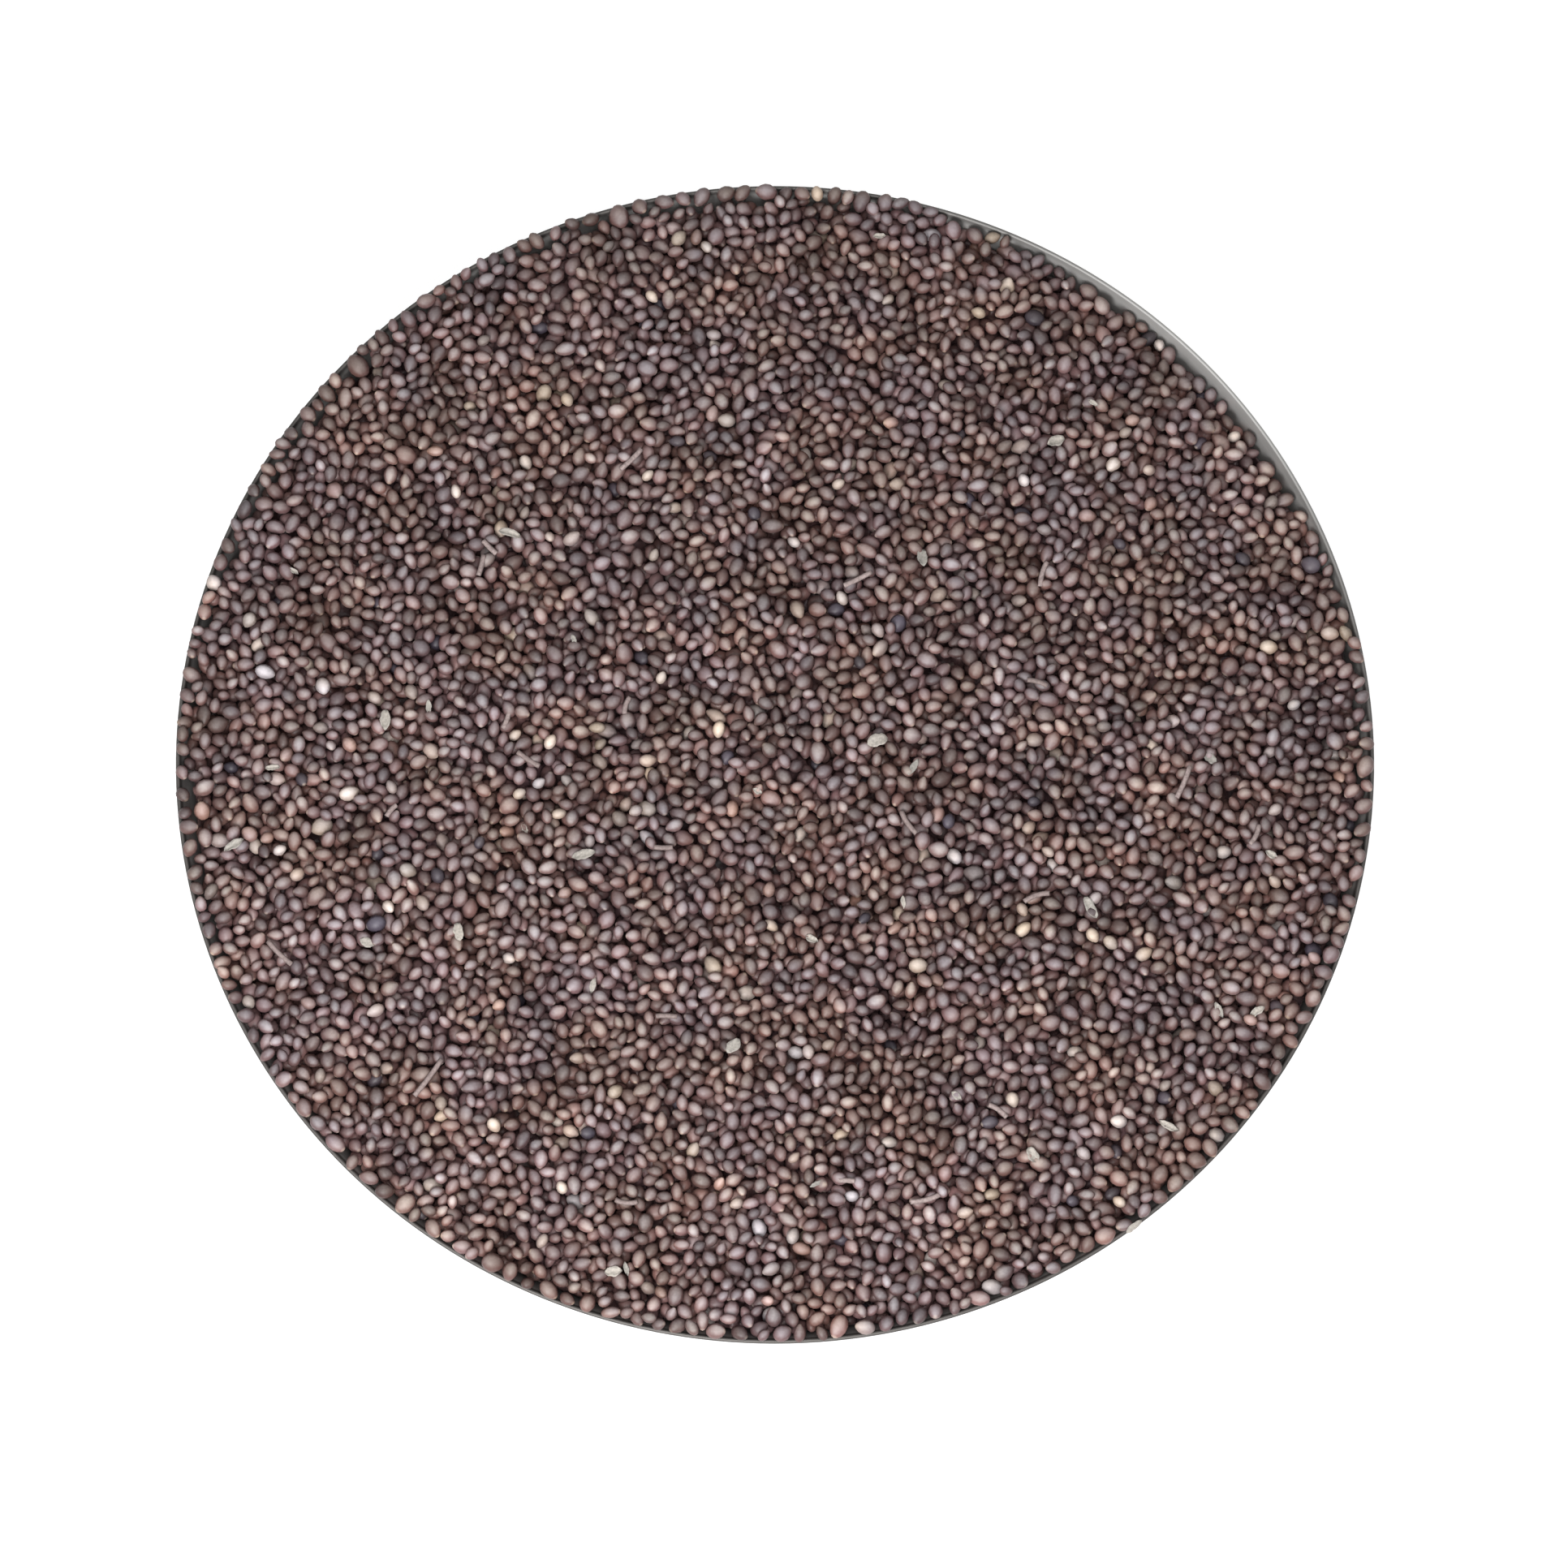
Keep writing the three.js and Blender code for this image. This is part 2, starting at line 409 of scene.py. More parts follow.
steel = line_height(inside[::-1], map_reach)
steel = np.maximum(steel, line_height(rim_line[::-1], map_reach))
bed = np.maximum(level - LOOSE_DEPTH, steel)
bed[map_reach > RIM_RADIUS - OVERHANG_LEFT] = 1  # a wall of 1 metre: nothing may reach past the rim
height_map = bed.astype(np.float32)
print("map of", CELLS, "cells a side")

# %% [markdown]
# A seed is rounded enough to be taken as an ellipsoid here, whose top and underside over each cell of the
# map have exact formulas. They would be slow to work out for every seed and place. So a few hundred seeds,
# each with its own size, heading and tilt, are worked out once, and every dropped seed is one of them.

# %% Work out ways for a seed to lie
SEED_LENGTH = 1.27 * MM
SEED_WIDTH = 1.03 * MM
SEED_THICKNESS = 0.90 * MM
WAYS_TO_LIE = 600
SIZE_SPREAD = 0.14  # of the size
SIZE_LIMITS = (0.7, 1.3)
FORM_SPREAD = 0.05  # of the length, width and thickness, each on its own
TILT_SPREAD = math.radians(20)
ROLL_SPREAD = math.radians(25)


def turned_by(heading, tilt, roll):
    turn = Matrix.Rotation(heading, 3, "Z") @ Matrix.Rotation(tilt, 3, "Y") @ Matrix.Rotation(roll, 3, "X")
    return np.array(turn)


class Lie:
    """One size and one way of lying, with its underside and top over the cells of the map."""

    def __init__(self, halves, turn):
        self.halves, self.turn = halves, turn
        form = turn @ np.diag(halves**-2.0) @ turn.T
        spread = np.sqrt(np.diag(turn @ np.diag(halves**2) @ turn.T))
        self.wide, self.deep = (spread[:2] / CELL).astype(int) + 1
        x, y = np.meshgrid(
            np.arange(-self.wide, self.wide + 1) * CELL,
            np.arange(-self.deep, self.deep + 1) * CELL, indexing="ij",
        )
        middle = -(form[0, 2] * x + form[1, 2] * y) / form[2, 2]
        rest = form[0, 0] * x * x + 2 * form[0, 1] * x * y + form[1, 1] * y * y - 1
        inside = middle**2 - rest / form[2, 2]
        half = np.sqrt(np.maximum(inside, 0))
        self.under = np.where(inside > 0, middle - half, np.inf).astype(np.float32)
        self.over = np.where(inside > 0, middle + half, -np.inf).astype(np.float32)
        self.cells = int((inside > 0).sum())
        self.rise = spread[2]

    def window(self, i, j):
        return slice(i - self.wide, i + self.wide + 1), slice(j - self.deep, j + self.deep + 1)


def random_lie():
    vary = chance.standard_normal(6)
    size = np.clip(1 + SIZE_SPREAD * vary[0], *SIZE_LIMITS)
    halves = size / 2 * np.array([SEED_LENGTH, SEED_WIDTH, SEED_THICKNESS]) * (1 + FORM_SPREAD * vary[1:4])
    heading = chance.uniform(0, 2 * math.pi)
    return Lie(halves, turned_by(heading, TILT_SPREAD * vary[4], ROLL_SPREAD * vary[5]))


lies = [random_lie() for _ in range(WAYS_TO_LIE)]
print("mean seed covers", round(np.mean([lie.cells for lie in lies]) * (CELL / MM) ** 2, 2), "square mm")

# %% [markdown]
# A new seed starts over some low place, rolls to the lowest place near it, and stays in the way of lying
# that lets it sink deepest. It is taken away again if it stands too high. A few tries are for seeds on the
# rim itself, which lie as far out as they can.

# %% Drop the seeds
TRIES = 48000
BRIM_SHARE = 0.08  # of the tries are for seeds on the rim itself
BRIM_INSET = 0.3 * MM  # from the rim to the outermost place that is tried for the middle of a seed
PLACES_TRIED = 4  # and the lowest of them is where a seed starts
WAYS_TRIED = 3
ROLL = 3  # cells a seed moves at each step as it rolls
MOST_STEPS = 6
TOP_COUNTS = 0.3  # how much a seed's own height counts in the choice of its way of lying
SPARE = 0.12 * MM  # how far a seed may stand over where the tops should be
EDGE = int(1.4 * SEED_LENGTH / CELL)  # cells that are kept free along the map's edge

steps = [(round(ROLL * math.cos(k * math.pi / 3)), round(ROLL * math.sin(k * math.pi / 3))) for k in range(6)]
owner = np.full(height_map.shape, -1, np.int32)


def resting_height(lie, i, j):
    return float((height_map[lie.window(i, j)] - lie.under).max())


def low_place():
    """The lowest of a few random places, measured from where the tops should be."""
    i, j = chance.integers(EDGE, CELLS - EDGE, (2, PLACES_TRIED))
    return min(zip(i.tolist(), j.tolist()), key=lambda p: height_map[p] - tops[p])


def roll_down(lie, i, j):
    height = resting_height(lie, i, j)
    for _ in range(MOST_STEPS):
        near = [(i + di, j + dj) for di, dj in steps]
        near = [p for p in near if EDGE < min(p) and max(p) < CELLS - EDGE]
        lowest, place = min((resting_height(lie, *p), p) for p in near)
        if lowest >= height:
            break
        height, (i, j) = lowest, place
    return i, j


def place_on_rim(lie):
    """The place farthest out in some direction where a seed doesn't reach past the rim."""
    heading = chance.uniform(0, 2 * math.pi)
    for reach in np.arange(RIM_RADIUS - BRIM_INSET, RIM_RADIUS - SEED_LENGTH, -CELL / 2):
        i = int(reach * math.cos(heading) / CELL + CELLS / 2)
        j = int(reach * math.sin(heading) / CELL + CELLS / 2)
        if resting_height(lie, i, j) < 2 * RIM_HEIGHT:
            return i, j
    return i, j


def drop_seeds():
    landed = []
    for _ in range(TRIES):
        picks = [lies[k] for k in chance.integers(0, WAYS_TO_LIE, WAYS_TRIED)]
        if chance.random() < BRIM_SHARE:
            lie = picks[0]
            i, j = place_on_rim(lie)
        else:
            i, j = roll_down(picks[0], *low_place())
            settled = [(resting_height(lie, i, j) + TOP_COUNTS * lie.rise, k) for k, lie in enumerate(picks)]
            lie = picks[min(settled)[1]]
        height = resting_height(lie, i, j)
        if height + lie.rise > tops[i, j] + SPARE:
            continue
        window = lie.window(i, j)
        shown = lie.over + height > height_map[window]
        height_map[window][shown] = (lie.over + height)[shown]
        owner[window][shown] = len(landed)
        landed.append((lie, i, j, height))
    return landed


landed = drop_seeds()
print("dropped", len(landed), "seeds")

# %% [markdown]
# A seed that others cover needs no shape of its own. The seed that each cell's top belongs to was noted as
# the seeds were dropped, so a count of the cells tells how much of every seed shows from above.

# %% Choose the seeds that show
LEAST_SHARE = 0.14  # of a seed's own outline, seen from straight above

cells_seen = np.bincount(owner[owner >= 0], minlength=len(landed))
share_seen = cells_seen / np.array([lie.cells for lie, *_ in landed])
shown = share_seen > LEAST_SHARE
places = np.array([(across[i], across[j], height) for _, i, j, height in landed])
turns = np.array([lie.turn for lie, *_ in landed])
halves = np.array([lie.halves for lie, *_ in landed])
print(int(shown.sum()), "seeds show,", int((share_seen > 0.5).sum()), "of them more than half")

# %% [markdown]
# ## The form of a seed
# A holy basil seed is an egg-shaped nutlet, blunt at one end. Four of them grow pressed together in one
# calyx, so one face is slightly flattened with a faint ridge along it. The seeds are repeated thousands of
# times, so a form has only a few dozen faces: a coarse ball, turned to lie along X, then narrowed,
# flattened and dented a little. Several forms, each from its own numbers, keep them from looking alike.

# %% Shape the seed forms
FORMS = 6
ROUND_SIDES = 8
LENGTH_STEPS = 7
PLUMPNESS = 1.07  # seeds aren't quite round, so they fit closer than the ellipsoids that were dropped


def seed_form():
    """A ball 2 across that lies along X, with its narrow end at +X and its flattened face down."""
    narrowing, flattening, ridge, lean = chance.uniform((0.10, 0.04, 0.0, -0.08), (0.26, 0.16, 0.08, 0.08))
    shape = bmesh.new()
    bmesh.ops.create_uvsphere(shape, u_segments=ROUND_SIDES, v_segments=LENGTH_STEPS, radius=1)
    bmesh.ops.rotate(shape, verts=shape.verts, cent=(0, 0, 0), matrix=Matrix.Rotation(math.pi / 2, 3, "Y"))
    for point in shape.verts:
        x, y, z = point.co
        girth = 1 - narrowing * max(0, x + 0.2) ** 2
        under = max(0, -z)
        z = z * girth + flattening * under**2 - ridge * under * math.exp(-((y / 0.25) ** 2))
        point.co = (x, y * girth * (1 - abs(lean)) + lean * (1 - x * x), z)
    bmesh.ops.recalc_face_normals(shape, faces=shape.faces)
    return shape


forms = [seed_form() for _ in range(FORMS)]
form_points = np.array([[point.co * PLUMPNESS for point in shape.verts] for shape in forms])
form_faces = [[point.index for point in face.verts] for face in forms[0].faces]
form_corners = np.concatenate(form_faces)
for shape in forms:
    shape.free()
print(len(form_faces), "faces a seed, widest reach", round(float(np.abs(form_points).max()), 2))

# %% [markdown]
# A pattern that is baked into a picture needs a flat layout. Each seed gets a cell of its own, twice as wide
# as it is high: the seed's upper half is spread out in the left of the cell and its lower half in the
# right. The distance from the middle of a half grows evenly with the angle, so nothing is squeezed.

# %% Lay out a seed's two halves
CELL_MARGIN = 0.06  # of a half cell


def half_layout():
    """Where each corner of the form lies in a cell that is 2 wide and 1 high."""
    x, y, z = form_points[0].T
    angle = np.arctan2(np.hypot(x, y), np.abs(z)) / (math.pi / 2)
    flat = np.stack([x, y], axis=1) / np.maximum(np.hypot(x, y), 1e-6)[:, None]
    flat = flat * angle[:, None] * (0.5 - CELL_MARGIN) + 0.5
    is_lower = [np.mean(z[face]) < 0 for face in form_faces]
    lower = np.repeat(is_lower, [len(face) for face in form_faces])
    corners = flat[form_corners]
    corners[:, 0] = np.where(lower, 2 - corners[:, 0], corners[:, 0])
    return corners


form_layout = half_layout()
print("layout spans", form_layout.min(axis=0).round(2), "to", form_layout.max(axis=0).round(2))

# %% [markdown]
# ## The coat of a seed
# A seed's coat is dark brown with a red or purple cast. Rubbing leaves a dull grey bloom on it in patches,
# and its narrow end, by which it grew, carries a paler scar. The same pale grey is also painted over each
# seed's upward faces as a painted highlight on its top, and the coat is painted darker deep in the gaps as
# painted shade. These effects are the same on every kind of seed and only the colours change, so they are one
# node group. Three attributes of the mesh steer it: shade is one random number for each seed, along runs
# from -1 at the blunt end to 1 at the narrow one, and the third is 1 at the top of the heap and falls to 0
# deep in the gaps, where the grey is left off and the coat is painted dark as shade.

# %% Build the seed coat group
def new_group(name, inputs, outputs):
    group = bpy.data.node_groups.new(name, "ShaderNodeTree")
    for label, kind in inputs.items():
        group.interface.new_socket(label, in_out="INPUT", socket_type=kind)
    for label, kind in outputs.items():
        group.interface.new_socket(label, in_out="OUTPUT", socket_type=kind)
    return group, add_node(group, "NodeGroupInput").outputs, add_node(group, "NodeGroupOutput").inputs


def times(tree, value, factor):
    return add_node(tree, "ShaderNodeMath", {0: value, 1: factor}, operation="MULTIPLY").outputs["Value"]


COLOUR, NUMBER = "NodeSocketColor", "NodeSocketFloat"
seed_coat, given, result = new_group(
    "seed_coat",
    {"Coat": COLOUR, "Bloom and highlight": COLOUR, "Scar": COLOUR, "Dust and highlight": NUMBER},
    {"Color": COLOUR, "Roughness": NUMBER, "Height": NUMBER},
)
spot = add_node(seed_coat, "ShaderNodeTexCoord").outputs["Object"]
shade = add_node(seed_coat, "ShaderNodeAttribute", attribute_name="shade").outputs["Fac"]
along = add_node(seed_coat, "ShaderNodeAttribute", attribute_name="along").outputs["Fac"]
unshaded_part = add_node(seed_coat, "ShaderNodeAttribute", attribute_name="unshaded").outputs["Fac"]
patches = add_node(
    seed_coat, "ShaderNodeTexNoise", {"Vector": spot, "Scale": 1300, "Detail": 2}
).outputs["Fac"]
mottle = add_node(
    seed_coat, "ShaderNodeTexNoise",
    {"Vector": spot, "Scale": 5200, "Detail": 3, "Roughness": 0.65},
).outputs["Fac"]
pits = add_node(seed_coat, "ShaderNodeTexVoronoi", {"Vector": spot, "Scale": 13000}).outputs["Distance"]

# Faces that look up get the pale grey: a painted highlight on each seed's top.
facing = add_node(seed_coat, "ShaderNodeNewGeometry").outputs["Normal"]
upward = add_node(seed_coat, "ShaderNodeSeparateXYZ", {"Vector": facing}).outputs["Z"]
painted_top_highlight = remap(seed_coat, upward, 0.55, 1.0, 0, 1)
bloom_and_highlight_share = times_plus(seed_coat, painted_top_highlight, 0.8, remap(seed_coat, patches, 0.36, 0.64, 0, 0.2))
# Deep in the gaps the grey is left off, so the coat shows darker there: painted shade.
bloom_and_highlight_share = times(seed_coat, times(seed_coat, bloom_and_highlight_share, given["Dust and highlight"]), unshaded_part)
coloured = mix_colours(seed_coat, bloom_and_highlight_share, given["Coat"], given["Bloom and highlight"])
scar_share = remap(seed_coat, along, 0.9, 1.04, 0, 0.5)
coloured = mix_colours(seed_coat, scar_share, coloured, given["Scar"])
drift = add_node(
    seed_coat, "ShaderNodeTexNoise", {"Vector": spot, "Scale": 290, "Detail": 0.5}
).outputs["Fac"]
drift = remap(seed_coat, drift, 0.35, 0.65, 0, 1)
tint = mix_colours(seed_coat, drift, (0.95, 1.0, 1.085, 1), (1.04, 1.0, 0.91, 1))
coloured = mix_colours(seed_coat, 1, coloured, tint, way="MULTIPLY")
brightness = times_plus(seed_coat, mottle, 0.4, remap(seed_coat, shade, 0, 1, 0.37, 1.15))
# Broad clouds make patches of seeds darker or lighter: painted shade of small hollows in the heap.
painted_shade_clouds = add_node(
    seed_coat, "ShaderNodeTexNoise",
    {"Vector": spot, "Scale": 210, "Detail": 1.5, "Roughness": 0.8},
).outputs["Fac"]
brightness = times(seed_coat, brightness, remap(seed_coat, painted_shade_clouds, 0.35, 0.65, 0.78, 1.22))
coloured = add_node(
    seed_coat, "ShaderNodeVectorMath", {"Vector": coloured, "Scale": brightness}, operation="SCALE"
).outputs["Vector"]
roughness = times_plus(seed_coat, mottle, 0.2, remap(seed_coat, bloom_and_highlight_share, 0, 1, 0.34, 0.46))
height = times_plus(seed_coat, pits, 0.5, mottle)
seed_coat.links.new(coloured, result["Color"])
seed_coat.links.new(roughness, result["Roughness"])
seed_coat.links.new(height, result["Height"])
print("seed coat has", len(seed_coat.nodes), "nodes")


SCAR = (0.42, 0.33, 0.27)
PIT_DEPTH = 0.012 * MM


def coat_material(name, coat, bloom_and_highlight, dust_and_highlight):
    material, tree, shader = new_material(name)
    finish = add_node(tree, "ShaderNodeGroup", node_tree=seed_coat)
    for label, colour in (("Coat", coat), ("Bloom and highlight", bloom_and_highlight), ("Scar", SCAR)):
        finish.inputs[label].default_value = (*colour, 1)
    finish.inputs["Dust and highlight"].default_value = dust_and_highlight
    bump = add_node(
        tree, "ShaderNodeBump", {"Height": finish.outputs["Height"], "Strength": 0.6, "Distance": PIT_DEPTH}
    )
    tree.links.new(finish.outputs["Color"], shader.inputs["Base Color"])
    tree.links.new(finish.outputs["Roughness"], shader.inputs["Roughness"])
    tree.links.new(bump.outputs["Normal"], shader.inputs["Normal"])
    shader.inputs["Specular IOR Level"].default_value = 0.35
    return material


# %% [markdown]
# ## The kinds of seed
# Most of the seeds are plum brown, some deeper, some dustier, some redder or greyer. A few in a hundred
# are odd: unripe beige and tan ones, rusty ones, pale grey ones and nearly black ones. Each kind is a piece
# of its own with its own coat. Most seeds get a kind at random, by the kinds' shares. The plainest odd
# seeds of the photo are named by their pixels, and the seed that lies nearest to such a place gets the kind.

# %% Name the kinds
KINDS = {  # its share of the heap, the colours of its coat and of its bloom and painted highlight, and how much of both it gets
    "plum": (0.19, (0.131, 0.069, 0.066), (0.288, 0.243, 0.237), 0.90),
    "deep_plum": (0.19, (0.110, 0.058, 0.055), (0.240, 0.200, 0.197), 0.85),
    "dusty_plum": (0.19, (0.140, 0.078, 0.073), (0.356, 0.312, 0.301), 0.95),
    "red_brown": (0.19, (0.138, 0.071, 0.065), (0.295, 0.243, 0.238), 0.85),
    "grey_brown": (0.19, (0.120, 0.068, 0.063), (0.286, 0.243, 0.239), 0.90),
    "blue_black": (0.006, (0.050, 0.038, 0.048), (0.120, 0.104, 0.120), 0.65),
    "rust": (0.005, (0.205, 0.115, 0.095), (0.430, 0.318, 0.290), 0.85),
    "beige": (0.016, (0.215, 0.155, 0.138), (0.405, 0.343, 0.316), 0.90),
    "tan": (0.009, (0.290, 0.220, 0.180), (0.545, 0.465, 0.405), 0.95),
    "pale_grey": (0.005, (0.280, 0.236, 0.228), (0.610, 0.540, 0.520), 0.95),
}
ODD_SPOTS = {  # pixels of the photo where an odd seed lies
    "tan": [
        (874, 903), (664, 908), (679, 916), (645, 902), (617, 636), (793, 350), (889, 508), (689, 1450),
        (1351, 1146), (1137, 1179), (555, 605), (485, 1112), (868, 296), (1377, 1475), (1260, 1143),
        (815, 833), (945, 1133), (1091, 361), (442, 966), (249, 1006),
    ],
    "rust": [
        (1398, 508), (315, 1024), (334, 1028), (1350, 627), (1425, 614), (1105, 520), (257, 997),
        (625, 1228), (425, 911), (1160, 1000),
    ],
    "pale_grey": [(632, 1181), (266, 710), (1173, 1057), (391, 851), (793, 1034)],
    "blue_black": [(1205, 605), (1572, 1242), (888, 931), (751, 585)],
}
ODD_TONES = (0.8, 1.0)  # these seeds are among the brightest of their kind
OPEN_SHARE = 0.6  # and each shows at least this much


def seen_on_heap(across, down):
    """The place on the heap that the photo shows at a pixel, found in a few rounds."""
    height = RIM_HEIGHT
    for _ in range(3):
        x, y = seen_at(across, down, height)
        height = float(heap_level(x, y)) + SEED_STAND
    return x, y


def nearest_seed(across, down, open_seeds):
    x, y = seen_on_heap(across, down)
    apart = np.hypot(places[open_seeds, 0] - x, places[open_seeds, 1] - y)
    return open_seeds[np.argmin(apart)]


kind_names = list(KINDS)
kind_shares = np.array([kind[0] for kind in KINDS.values()])
kind_of = chance.choice(len(KINDS), size=len(landed), p=kind_shares / kind_shares.sum())
tones = chance.random(len(landed))
open_seeds = np.flatnonzero(share_seen > OPEN_SHARE)
for kind_name, spots in ODD_SPOTS.items():
    for spot_across, spot_down in spots:
        seed = nearest_seed(spot_across, spot_down, open_seeds)
        kind_of[seed] = kind_names.index(kind_name)
        tones[seed] = chance.uniform(*ODD_TONES)
print({name: int((shown & (kind_of == k)).sum()) for k, name in enumerate(kind_names)})

# %% [markdown]
# ## Joining the seeds
# A separate object for every seed would be slow to work with. Instead, all seeds of a kind are one mesh:
# the points of each form are sized, turned and moved with arrays, and the faces repeat the form's own.

# %% Join each kind into one piece
PAINTED_SHADE_DEPTH = 0.8 * MM  # at this depth below the tops the painted shade in the gaps is at its darkest


def unshaded_share(x, y, z):
    """How far a point of the heap is out of the painted shade, from its depth under the tops of the seeds."""
    i = (x / CELL + CELLS / 2).astype(int)
    j = (y / CELL + CELLS / 2).astype(int)
    return np.clip(1 - (tops[i, j] - z) / PAINTED_SHADE_DEPTH, 0, 1)


def join_seeds(name, picks):
    form_of = chance.integers(0, FORMS, len(picks))
    sized = form_points[form_of] * halves[picks][:, None, :]
    points = np.einsum("nij,nkj->nki", turns[picks], sized) + places[picks][:, None, :]
    starts = range(0, points.shape[0] * points.shape[1], points.shape[1])
    faces = [[start + corner for corner in face] for start in starts for face in form_faces]
    mesh = bpy.data.meshes.new(name)
    mesh.from_pydata(points.reshape(-1, 3), [], faces)
    columns = math.ceil(math.sqrt(len(picks) / 2))
    cells = np.stack([2 * (np.arange(len(picks)) % columns), np.arange(len(picks)) // columns], axis=1)
    layout = (form_layout + cells[:, None, :]) / (2 * columns + 2)
    mesh.uv_layers.new(name="seed_cells").data.foreach_set("uv", layout.astype(np.float32).ravel())
    set_attribute(mesh, "shade", np.repeat(tones[picks], points.shape[1]))
    set_attribute(mesh, "along", np.tile(form_points[0][:, 0], len(picks)))
    set_attribute(mesh, "unshaded", unshaded_share(points[..., 0], points[..., 1], points[..., 2]))
    return mesh


for k, (kind_name, (_, coat, bloom_and_highlight, dust_and_highlight)) in enumerate(KINDS.items()):
    picks = np.flatnonzero(shown & (kind_of == k))
    name = "seeds_" + kind_name
    mesh = join_seeds(name, picks)
    new_piece(name, mesh, coat_material(name, coat, bloom_and_highlight, dust_and_highlight), "seed_heap")
    print(name, len(picks), "seeds,", len(mesh.polygons), "faces")

# %% [markdown]
# ## The heap under the loose seeds
# The seeds that hardly show are not separate pieces: they are relief on a core that fills the dish. The
# height map is made again from just those seeds, and a fine grid is bent into a disc and raised to it. The
# grid's edge is then drawn down along the inside of the dish, a little way off the steel, and closed below.

# %% Rebuild the relief of the hidden seeds
relief = bed.copy()
relief_owner = np.full(relief.shape, -1, np.int32)
for k in np.flatnonzero(~shown):
    lie, i, j, height = landed[k]
    window = lie.window(i, j)
    higher = lie.over + height > relief[window]
    relief[window][higher] = (lie.over + height)[higher]
    relief_owner[window][higher] = k
print("relief of", int((~shown).sum()), "hidden seeds")

# %% Shape the core
CORE_GAP = 0.3 * MM  # between the core and the steel
CORE_EDGE_DEPTH = 1.5 * MM  # how far the core's edge lies under the rim
CORE_LIP = 0.05 * MM  # the relief stays at least this much above the core's own wall
CORE_TONE = 0.3  # where no hidden seed lies
CORE_CELLS = 280
SKIRT_STEPS = 6

core_line = section_line(SHEET + CORE_GAP, SKIRT_STEPS // 2, SKIRT_STEPS // 2)
CORE_EDGE = RIM_HEIGHT - CORE_EDGE_DEPTH
CORE_RADIUS = float(np.interp(CORE_EDGE, [p.y for p in core_line], [p.x for p in core_line]))
skirt = [p for p in reversed(core_line) if p.y < RIM_HEIGHT - 2 * CORE_EDGE_DEPTH]
core_floor = [(CORE_RADIUS, CORE_EDGE), *skirt]

shape = bmesh.new()
bmesh.ops.create_grid(shape, x_segments=CORE_CELLS, y_segments=CORE_CELLS, size=1)
square = np.array([point.co for point in shape.verts])
core_x = CORE_RADIUS * square[:, 0] * np.sqrt(1 - square[:, 1] ** 2 / 2)
core_y = CORE_RADIUS * square[:, 1] * np.sqrt(1 - square[:, 0] ** 2 / 2)
cell_i = ((core_x / CELL) + CELLS / 2).astype(int)
cell_j = ((core_y / CELL) + CELLS / 2).astype(int)
lowest = line_height(core_line, np.hypot(core_x, core_y)) + CORE_LIP
core_z = np.maximum(relief[cell_i, cell_j], lowest)
core_owner = relief_owner[cell_i, cell_j]
core_tones = np.where(core_owner < 0, CORE_TONE, tones[core_owner])
for point, place in zip(shape.verts, zip(core_x, core_y, core_z)):
    point.co = place

edge = [e for e in shape.edges if e.is_boundary]
for radius, height in core_floor:
    made = bmesh.ops.extrude_edge_only(shape, edges=edge)["geom"]
    edge = [e for e in made if isinstance(e, bmesh.types.BMEdge) and e.is_boundary]
    for point in {point for e in edge for point in e.verts}:
        point.co = (*(point.co.xy.normalized() * radius), height)
bmesh.ops.holes_fill(shape, edges=edge, sides=0)
bmesh.ops.recalc_face_normals(shape, faces=shape.faces)
core_mesh = mesh_from(shape, "heap_core")
skirt_points = len(core_mesh.vertices) - len(core_tones)
set_attribute(core_mesh, "shade", np.append(core_tones, np.full(skirt_points, CORE_TONE)))
# The core's skirt lies deepest and gets the full painted shade.
set_attribute(core_mesh, "unshaded", np.append(unshaded_share(core_x, core_y, core_z), np.zeros(skirt_points)))
# The core's coat is darker than the plum seeds: painted shade for the deep gaps in which it shows.
core_painted_shade_coat = coat_material("heap_core", (0.092, 0.049, 0.049), (0.20, 0.145, 0.145), 0.70)
new_piece("heap_core", core_mesh, core_painted_shade_coat, "seed_heap")
print("core faces", len(core_mesh.polygons))

# %% [markdown]
# ## Chaff
# Seeds that are cleaned by hand keep some chaff: thin pieces of dry husk, greyer and paler than the seeds,
# and short bits of stem hair. A husk piece is a small grid. Its outline narrows unevenly towards the ends,
# its sides curl up, and solidify gives it the thickness of paper. Each lies on the seeds under it.

# %% Shape a husk
HUSK_THICKNESS = 0.05 * MM
HUSK_STEPS = 6
HUSK_SIDE_STEPS = 4
HUSK_SPOTS = [  # pixels across and down the photo, length and width in millimetres, heading in degrees
    (1081, 912, 1.5, 1.0, 20), (1342, 1116, 1.7, 0.8, -60), (475, 886, 1.5, 0.8, 90),
    (290, 1041, 1.6, 0.7, 30), (720, 1052, 1.7, 0.8, 15), (627, 657, 1.6, 0.7, -15),
    (1436, 1383, 1.6, 0.6, -30), (567, 1147, 1.3, 0.8, -80), (904, 1286, 1.3, 0.9, 50),
    (1303, 540, 1.3, 0.9, 20), (1125, 944, 1.4, 0.5, 60), (1393, 1506, 1.4, 0.5, 40),
]
MORE_HUSKS = 22
ANY_HEADING = (0, 6.3)  # radians, all the way round


